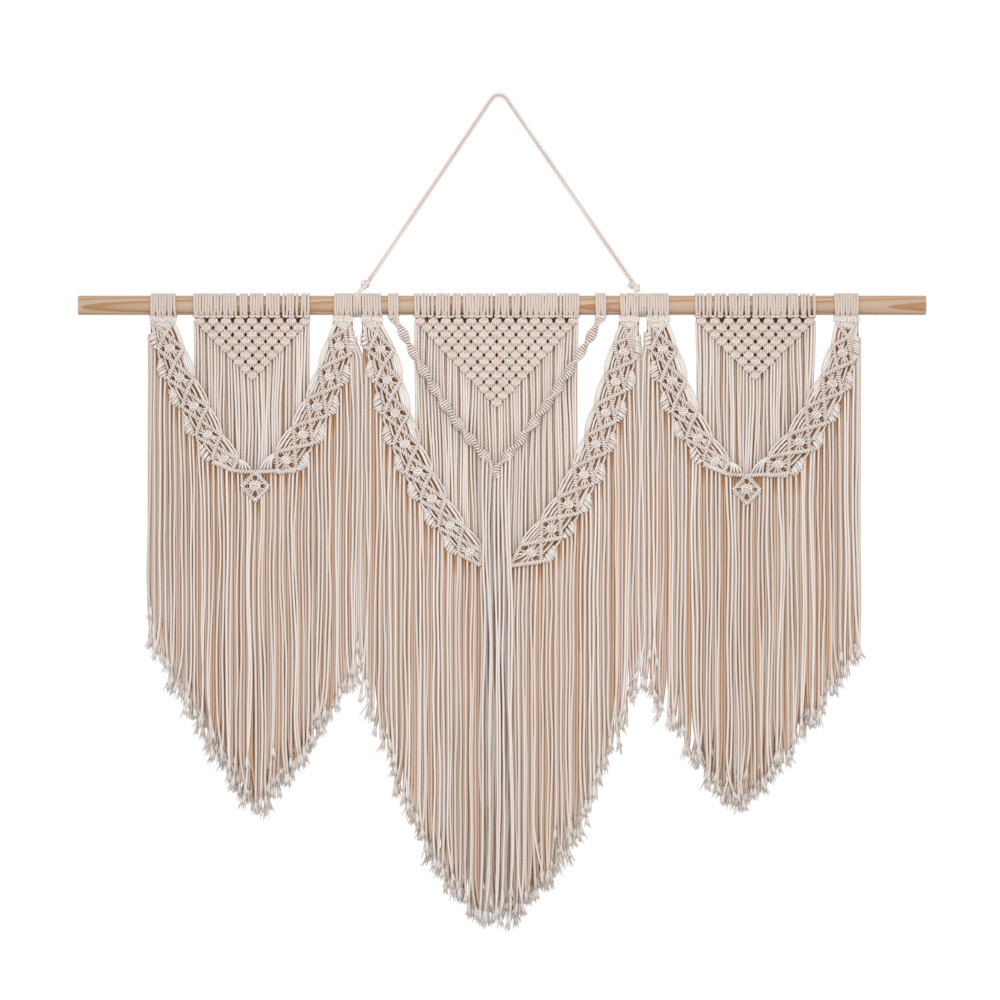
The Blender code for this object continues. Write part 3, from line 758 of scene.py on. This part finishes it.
# ---- panels
def make_panel(node_name, seed, cotton):
    low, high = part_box(node_name)
    left, right, knots = low.x, high.x, PANEL_KNOTS[node_name]
    fringe = node_name.removeprefix("panel_")
    count = knots * STRANDS_PER_KNOT
    pitch = (right - left) / count
    half = 2 * pitch
    yarn = Yarn(node_name, "_knots", seed)
    yarn.side_shade = KNOT_SIDE_SHADE
    wraps(yarn, left, right, count)
    for row in range(knots):
        for column in range(knots - row):
            x = left + half * (1 + row + 2 * column) + yarn.around(KNOT_SCATTER[0])
            drop = FIRST_ROW_DROP + row * ROW_PITCH + yarn.around(KNOT_SCATTER[1])
            middle = Vector((x, drop))
            square_knot(yarn, middle, PANEL_KNOT_Y, KNOT_HALF_WIDTH, KNOT_HALF_HEIGHT)
            for side in (-1, 1):
                if not (row + 1 < knots and 0 <= column + (side - 1) // 2 < knots - row - 1):
                    continue
                for (a, b), (c, d) in KNOT_LINKS:
                    start = middle + Vector((side * a * KNOT_HALF_WIDTH, b * KNOT_HALF_HEIGHT))
                    end = middle + Vector((side * (half + c * KNOT_HALF_WIDTH),
                                           ROW_PITCH + d * KNOT_HALF_HEIGHT))
                    yarn.cord([at(start, PANEL_KNOT_Y), at(end, PANEL_KNOT_Y)], LINK_RADIUS)
    yarn.make(cotton)
    yarn = Yarn(node_name, "_fringe", seed + 1)
    for index in range(count):
        if index % 2 == 0:
            shift = yarn.around(PAIR_SHIFT) * pitch
        x = left + (index + 0.5) * pitch + shift
        x += (0.5 - index % 2) * yarn.between(*PAIR_PULL) * pitch
        x = min(max(x, left + STRAND_RADIUS), right - STRAND_RADIUS)
        row = min(index, count - 1 - index) // 2
        top = FIRST_ROW_DROP + ROW_PITCH * min(row, knots - 1)
        hanging_strand(yarn, x, PANEL_STRAND_Y, top, uneven_end(yarn, fringe, x),
                       root_y=PANEL_KNOT_Y)
        behind = left + (index + 1.0) * pitch
        if index < count - 1:
            end = uneven_end(yarn, fringe, behind) - 0.004
            # painted shade: deep behind the knots, so that their holes look dark, and
            # PANEL_BACK_SHADE below them
            hanging_strand(
                yarn, behind, PANEL_BACK_Y, BAR_DROP, end, back=True,
                shade=lambda fall: 1.0 if BAR_DROP + fall < top - 0.004 else PANEL_BACK_SHADE)
    yarn.make(cotton)


# ---- garlands
class Half:
    """One side of a garland: its diamonds from the root on the dowel down to the join."""

    def __init__(self, root, centres, join, side):
        self.root, self.side = root, side
        self.start = Vector(((root[0] + root[1]) / 2, ROOT_DROP))
        self.knots = [Vector(centre) for centre in centres]
        line = [self.start] + self.knots + [join]
        self.frames = []
        for before, after in zip(line, line[2:]):
            along = (after - before).normalized()
            self.frames.append((Vector((along.y, -along.x)) * side, along))
        self.outer, self.inner = (
            [knot + corner for knot in self.knots] for corner in DIAMONDS[side])
        first, last = self.knots[:2], self.knots[-2:]
        ends = [2 * first[0] - first[1]] + self.knots + [2 * last[1] - last[0]]
        self.crossings = [(above + below) / 2 for above, below in zip(ends, ends[1:])]
        outer_x, inner_x = root if side < 0 else root[::-1]
        self.outer_start = Vector((outer_x - side * CORNER_INSET, ROOT_DROP))
        self.inner_start = Vector((inner_x + side * CORNER_INSET, ROOT_DROP))

    def inner_loop(self, index, bulge):
        """Flat curve between neighbouring corners of the inner edge, bulging off the band."""
        first = self.inner[index - 1] if index else self.inner_start
        last, out = self.inner[index], -self.frames[index][0]
        bulge *= 1.0 if index else 0.45
        line = [first.lerp(last, share) + out * bulge * size for share, size in INNER_LOOP]
        return [first + out * 0.001] + line + [last + out * 0.001]

    def leaf(self, index, outward=0.0):
        """Line down a crescent from its tip to its foot, or beside that line."""
        upper = self.outer[index - 1] if index else self.outer_start
        lower, out = self.outer[index], self.frames[index][0]
        size = 1.0 if index else FIRST_LEAF
        way = lower - upper
        line = [upper + way * share + out * (bulge * size + outward * beside)
                for share, bulge, beside in LEAF]
        return line + [lower + out * (0.002 * size + outward * 0.5) - way * 0.04]

    def fringe_edge(self):
        """Line along the crescents, from which the fringe hangs."""
        edge = [self.outer_start]
        for index in range(len(self.knots)):
            edge += self.leaf(index, CRESCENT_HALF_WIDTH * 0.9)
        return edge + [self.outer[-1]]


def flat_cord(yarn, line, y, radius, steps=3, shade=0.0):
    yarn.cord(smooth([at(place, y) for place in line], steps), radius, shade)


def diamond(yarn, half, index):
    """Hitch bars round one square knot and the cords between them."""
    knot, (out, way) = half.knots[index], half.frames[index]
    top, bottom = half.crossings[index], half.crossings[index + 1]
    outer, inner = half.outer[index], half.inner[index]
    first, second = BAR_YS if half.side < 0 else BAR_YS[::-1]
    hitch_bar(yarn, top, outer, first)
    hitch_bar(yarn, inner, bottom, first)
    hitch_bar(yarn, top, inner, second, -1.0)
    hitch_bar(yarn, outer, bottom, second, -1.0)
    for above, below, rise, side in ((top, outer, -1, 1), (top, inner, -1, -1),
                                     (outer, bottom, 1, 1), (inner, bottom, 1, -1)):
        for share in (0.22, 0.48, 0.76):
            start = above.lerp(below, share)
            near = share if rise < 0 else 1 - share
            end = knot + way * rise * 0.0022 + out * side * (0.0008 + 0.0034 * near)
            bend = start.lerp(end, 0.5) + way * rise * 0.0007
            flat_cord(yarn, [start, bend, end], BAND_Y + 0.0006, LINK_RADIUS, 2)
    turn = math.atan2(-way.x, way.y)
    square_knot(yarn, knot, BAND_Y - 0.0002, *CELL_KNOT, turn * 0.6, LINK_RADIUS)


def crescent(yarn, half, index):
    """Lark's heads packed over a loop: turns across its axis, narrower towards both tips."""
    axis = half.leaf(index)
    path = [Vector((p.x, p.y)) for p in smooth([Vector((p.x, p.y, 0.0)) for p in axis], 8)]
    length = sum((b - a).length for a, b in zip(path, path[1:]))
    turns = round(length / CRESCENT_PITCH)
    way = (axis[-1] - axis[0]).normalized()
    across = Vector((-way.y, way.x))
    width = CRESCENT_HALF_WIDTH * (1.0 if index else FIRST_LEAF)
    for turn in range(turns):
        share = (turn + 0.5) / turns
        here = path[round(share * (len(path) - 1))] + way * yarn.around(0.0002)
        reach = width * (1.0 - 0.72 * abs(2 * share - 0.95) ** 2)
        reach *= yarn.between(0.96, 1.04)
        lean = yarn.around(0.0006) - half.side * reach * CRESCENT_SLOPE
        line = [at(here + across * reach * a + way * lean * a, BAND_Y - 0.0004 + b)
                for a, b in CRESCENT_TURN]
        yarn.cord(smooth(line, 2), CRESCENT_RADIUS, CRESCENT_SHADE,
                  side_shade=CRESCENT_SIDE_SHADE)


def pendant(yarn, join):
    """Diamond that hangs where the halves of a side garland meet."""
    low = join + Vector((0.0, PENDANT_HEIGHT))
    knot = join + Vector((0.0, PENDANT_HEIGHT * 0.48))
    for side in (-1, 1):
        beside = knot + Vector((side * PENDANT_HALF_WIDTH, 0.001))
        hitch_bar(yarn, join, beside, BAR_YS[1], side)
        hitch_bar(yarn, beside, low, BAR_YS[1], side)
        for share in (0.3, 0.55, 0.8):
            for start, rise in ((join.lerp(beside, share), -1), (low.lerp(beside, share), 1)):
                end = knot + Vector((side * (0.001 + 0.003 * share), rise * 0.003))
                line = [start, start.lerp(end, 0.5), end]
                flat_cord(yarn, line, BAND_Y + 0.0004, LINK_RADIUS, 1)
        # cords at the back of the pendant, painted in shade
        for lane in (0.08, 0.36, 0.62, 0.86):
            x = side * PENDANT_HALF_WIDTH * lane
            back = [join + Vector((x, PENDANT_HEIGHT * 0.45 * lane + 0.003)),
                    low + Vector((x, -PENDANT_HEIGHT * 0.5 * lane - 0.003))]
            flat_cord(yarn, back, BAND_BACK_Y, 0.0026, 1, shade=0.7)
    square_knot(yarn, knot, BAND_Y - 0.0008, 0.0062, 0.0046)


def pendant_arm(yarn, half, join):
    """Hitch bars from one half to the pendant and the loops inside them."""
    below = join + Vector((half.side * 0.0235, -0.0012))
    hitch_bar(yarn, half.outer[-1] + Vector((0.0, 0.003)), below, PENDANT_ARM_Y)
    hitch_bar(yarn, below, join, PENDANT_ARM_Y)
    for reach in (0.006, 0.011, 0.016, 0.0205):
        foot = join + Vector((half.side * reach, -0.003))
        bend = half.inner[-1].lerp(foot, 0.5) + Vector((-half.side * 0.0022, -0.0022))
        start = half.inner[-1] + Vector((0.0, 0.3 * (reach - 0.006)))
        flat_cord(yarn, [start, bend, foot], BAND_Y, KNOT_RADIUS)


def make_half(yarn, half):
    width = half.root[1] - half.root[0]
    wraps(yarn, *half.root, round(width / 0.0036))
    first = half.crossings[0]
    for corner in (half.outer_start, half.inner_start):
        hitch_bar(yarn, corner, first, BAND_Y + 0.0004)
    for share, drop in ((0.22, 0.0188), (0.78, 0.0188), (0.5, 0.0262)):
        square_knot(yarn, Vector((half.root[0] + width * share, drop)), BAND_Y + 0.0022,
                    width * 0.22, KNOT_HALF_HEIGHT)
    for share in (0.08, 0.36, 0.64, 0.92):
        top = Vector((half.root[0] + width * share, BAR_DROP))
        flat_cord(yarn, [top, top + Vector((0.0, 0.012)), first.lerp(half.start, 0.2)],
                  BAND_Y + 0.0036, KNOT_RADIUS, 2)
    band_shade = BAND_SHADE[half.side]
    # cords at the back of the band, painted in shade
    for lane in (-0.0105, -0.0052, 0.0, 0.0052, 0.01):
        line = [half.start + Vector((half.side * lane, 0.0))]
        line += [knot + out * lane for knot, (out, _) in zip(half.knots, half.frames)]
        line.append(half.crossings[-1] + half.frames[-1][0] * lane * 0.7)
        flat_cord(yarn, line, BAND_BACK_Y, 0.0032, 5, shade=band_shade)
    for index in range(len(half.knots)):
        diamond(yarn, half, index)
        out, crossing = half.frames[index][0], half.crossings[index]
        for corners, start, side in ((half.outer, half.outer_start, 1),
                                     (half.inner, half.inner_start, -1)):
            above, below = corners[index - 1] if index else start, corners[index]
            shares = (0.34, 0.68)
            if side < 0 or not index:
                depth = min((above - crossing).length, (below - crossing).length)
                count = round(depth / NEST_PITCH)
                shares = [(cord - 0.4) / count for cord in range(1, count + 1)]
            for share in shares:
                ends = crossing.lerp(above, share), crossing.lerp(below, share)
                middle = ends[0].lerp(ends[1], 0.5) + out * side * 0.0015 * share
                flat_cord(yarn, [ends[0], middle, ends[1]], BAND_Y + 0.0012, KNOT_RADIUS, 2)
        for bulge in (0.0002, 0.0042):
            flat_cord(yarn, half.inner_loop(index, bulge), BAND_Y + 0.0008, LINK_RADIUS)
        axis = half.leaf(index)
        stem = half.outer[index - 1] if index else half.outer_start
        flat_cord(yarn, [stem, stem.lerp(axis[0], 0.5) + out * 0.0008] + axis,
                  BAND_Y + 0.0008, KNOT_RADIUS)
        # cords behind the crescents, painted in shade
        for lane in (-0.003, 0.0016):
            flat_cord(yarn, [stem] + half.leaf(index, lane), BAND_BACK_Y, 0.003,
                      shade=band_shade)
        crescent(yarn, half, index)


def drop_on(edge, x, pick=max):
    """Drop of an edge at x, the largest or as pick says; None where it doesn't reach."""
    found = [a.y + (b.y - a.y) * (x - a.x) / (b.x - a.x) for a, b in zip(edge, edge[1:])
             if min(a.x, b.x) <= x <= max(a.x, b.x) and a.x != b.x]
    return pick(found) if found else None


def fading(first, last, length):
    """Shade of a strand by its fall: first at its top, last from that length on."""
    return lambda fall: last + (first - last) * max(0.0, 1.0 - fall / length)


def make_garland(name, seed, cotton):
    left_root, left_knots, right_root, right_knots = GARLANDS[name]
    join = (Vector(left_knots[-1]) + Vector(right_knots[-1])) / 2
    join += Vector((0.0, JOIN_BELOW_KNOTS))
    halves = [Half(left_root, left_knots, join, -1), Half(right_root, right_knots, join, 1)]
    if name == "centre":
        halves[1].crossings[-1] = CENTRE_FOOT
    yarn = Yarn("garland_" + name, "_band", seed)
    # painted light: brighter tones for the band's cords
    yarn.dull, yarn.side_shade = BAND_DULL, BAND_SIDE_SHADE
    for half in halves:
        make_half(yarn, half)
        if name != "centre":
            pendant_arm(yarn, half, join)
    if name != "centre":
        pendant(yarn, join)
    yarn.make(cotton)
    edges = [half.fringe_edge() + [half.crossings[-1]] for half in halves]
    bottom = [edges[0][-1], join, edges[1][-1]]
    if name != "centre":
        side, low = Vector((PENDANT_HALF_WIDTH, 0.0)), Vector((0.0, PENDANT_HEIGHT))
        bottom = [edges[0][-1], join - side * 0.5, join - side + low * 0.5, join + low,
                  join + side + low * 0.5, join + side * 0.5, edges[1][-1]]
    edge = edges[0] + bottom + edges[1][::-1]
    yarn = Yarn("garland_" + name, "_fringe", seed + 1)
    for pitch, y, shades, raise_by in ((FRONT_PITCH, FRINGE_FRONT_Y, FRONT_SHADE, 0.003),
                                       (BACK_PITCH, FRINGE_BACK_Y, BACK_SHADE, 0.005)):
        back = y == FRINGE_BACK_Y
        margin = 0.0 if back else STRAND_RADIUS
        left, right = FRINGES[name][0] + margin, FRINGES[name][4] - margin
        count = round((right - left) / pitch)
        for index in range(count + 1):
            x = left + (right - left) * index / count
            x += yarn.around(PITCH_PLAY) * (pitch - 0.0036) * 2 * (0 < index < count)
            if name == "centre" and CENTRE_OPEN[0] < x < CENTRE_OPEN[1]:
                continue
            top, root_x = drop_on(edge, x, min if back else max), None
            if top is None:
                top = min(point.y for point in edge) + EDGE_TOP
                root_x = min(max(x, edge[0].x + 0.001), edge[-1].x - 0.001)
            end, shade = uneven_end(yarn, name, x), yarn.between(*shades)
            # painted shade: little on the outermost strands, deeper where a back strand leaves the
            # band
            if not edge[0].x < x < edge[-1].x:
                shade *= EDGE_LIGHTEN
            elif back:
                shade = fading(BACK_TOP_SHADE, shade, BACK_TOP_LENGTH)
            hanging_strand(yarn, x, y, top - raise_by, end, shade, BAND_Y + 0.002, back, root_x)
    yarn.make(cotton)


# ---- twisted V
def make_twisted_v(seed, cotton):
    yarn = Yarn("twisted_v", "_sinnets", seed)
    for root, path in TWISTS:
        wraps(yarn, *root, 4)
        line = [at(place, TWIST_Y if k else -0.0125) for k, place in enumerate(path)]
        line = smooth(line, 12)
        yarn.cord(line[::3], 0.0021)
        lengths = [0.0]
        for a, b in zip(line, line[1:]):
            lengths.append(lengths[-1] + (b - a).length)
        count = round(lengths[-1] / 0.0035)
        for knot in range(count + 1):
            reach = lengths[-1] * knot / count
            index = max(i for i, value in enumerate(lengths) if value <= reach + 1e-9)
            index = min(index, len(line) - 2)
            way = (line[index + 1] - line[index]).normalized()
            middle = line[index] + way * (reach - lengths[index])
            across = way.cross(Vector((0.0, 1.0, 0.0))).normalized()
            front = way.cross(across).normalized()
            turn = math.pi * reach / TWIST_PERIOD
            wide = across * math.cos(turn) + front * math.sin(turn)
            thick = front * math.cos(turn) - across * math.sin(turn)
            ring = []
            for step in range(13):
                angle = TAU * step / 12
                ring.append(middle + wide * 0.0057 * math.cos(angle)
                            + thick * 0.002 * math.sin(angle) + way * 0.001 * math.sin(angle))
            yarn.cord(ring, 0.00165, sides=5)
    for index in range(TWIST_STRANDS):
        x = TWIST_STRAND_FIRST + index * TWIST_STRAND_PITCH
        top = max(drop_on([Vector(place) for place in path], x) or 0.0 for _, path in TWISTS)
        end = uneven_end(yarn, "centre", x)
        hanging_strand(yarn, x, TWIST_STRAND_Y, top, end, root_y=TWIST_Y)
    yarn.make(cotton)


# ---- hanging cord and its ties
def hanger_points():
    """The route of the hanging cord's solid: two straight legs and a round turn on the hook."""
    ends = [Vector((knot[0], 0.0, knot[1])) for _, knot in TIES.values()]
    legs = [end.normalized() for end in ends]
    half_angle = legs[0].angle(legs[1]) / 2
    setback = HANGER_APEX_RADIUS / math.tan(half_angle)
    starts = [leg * setback for leg in legs]
    middle = (legs[0] + legs[1]).normalized() * (HANGER_APEX_RADIUS / math.sin(half_angle))
    turn = []
    for step in range(7):
        way = (starts[0] - middle).lerp(starts[1] - middle, step / 6).normalized()
        turn.append(middle + way * HANGER_APEX_RADIUS)
    lift = Vector((0.0, 0.0, -turn[3].z))
    turn = [point + lift for point in turn]
    points = []
    for end, first in ((ends[0], turn[0]), (ends[1], turn[-1])):
        way = (first - end).normalized()
        reach = 1.0 / math.hypot(way.x / TIE_KNOT_SIZE[0], way.z / TIE_KNOT_SIZE[1])
        start = end + way * (reach + HANGER_CLEARANCE)
        count = round((first - start).length / HANGER_STEP)
        points.append([start.lerp(first, step / count) for step in range(count)])
    return points[0] + turn + points[1][::-1]


def make_hanging_cord(cotton):
    route = hanger_points()
    yarn = Yarn("hanging_cord", "_strands", 5)
    fine = smooth(route, 3)
    for strand in (0.0, math.pi):
        line, along = [], 0.0
        for index, point in enumerate(fine):
            way = (fine[min(index + 1, len(fine) - 1)] - fine[max(index - 1, 0)]).normalized()
            across = way.cross(Vector((0.0, 1.0, 0.0))).normalized()
            if index:
                along += (point - fine[index - 1]).length
            swing = 0.7 * math.sin(along * 31) + 0.5 * math.sin(along * 13 + 1)
            angle = strand + HANGER_SWING * swing
            line.append(point + (across * math.cos(angle) + Vector((0.0, math.sin(angle), 0.0)))
                        * HANGER_DIAMETER / 4)
        yarn.cord(line, HANGER_DIAMETER / 4, sides=8)
    piece = yarn.make(cotton)


def make_tie(name, seed, cotton):
    """Turns round the dowel and the knot in which the hanging cord ends."""
    (left, right), (knot_x, knot_z) = TIES[name]
    yarn = Yarn(name, "_strands", seed)
    wraps(yarn, left - TIE_WRAP_MARGIN, right + TIE_WRAP_MARGIN, 3, bars=False)
    knot = Vector((knot_x, 0.0, knot_z))
    foot = Vector((TIE_FEET[name], 0.0, DOWEL_Z))
    for side in (-TIE_STRAND_OFFSET, TIE_STRAND_OFFSET):
        line = [foot + Vector((side * 1.6, -0.01, 0.009)), foot + Vector((side, -0.006, 0.014)),
                knot.lerp(foot, 0.35) + Vector((side, -0.002, 0.006)), knot]
        yarn.cord(smooth(line, 3), HANGER_DIAMETER / 4)
    rise = Vector((-knot.x, 0.0, -knot.z)).normalized()
    across = rise.cross(Vector((0.0, 1.0, 0.0)))
    for dx, dz, size in TIE_KNOTS[name]:
        ring = []
        for step in range(37):
            t = TAU * step / 36
            up = rise * (math.cos(t) - 2 * math.cos(2 * t))
            aside = across * (math.sin(t) + 2 * math.sin(2 * t))
            back = Vector((0.0, 1.0, 0.0)) * 1.5 * math.sin(3 * t)
            ring.append(knot + Vector((dx, 0.0, dz)) + (up + aside - back) * size)
        yarn.cord(ring, size * 1.65)
    yarn.cord([knot - rise * 0.006, knot + rise * 0.009], 0.0027)
    yarn.make(cotton)


make_camera()
COTTON = cotton_material()
make_hanging_cord(COTTON)
make_studio()
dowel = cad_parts["dowel"]
dowel.data.materials.clear()
dowel.data.materials.append(pine_material())
for seed, tie_name in enumerate(TIES):
    make_tie(tie_name, 20 + seed, COTTON)
for seed, panel_name in enumerate(PANEL_KNOTS):
    make_panel(panel_name, 31 + 2 * seed, COTTON)
for seed, garland_name in enumerate(GARLANDS):
    make_garland(garland_name, 51 + 2 * seed, COTTON)
make_twisted_v(71, COTTON)
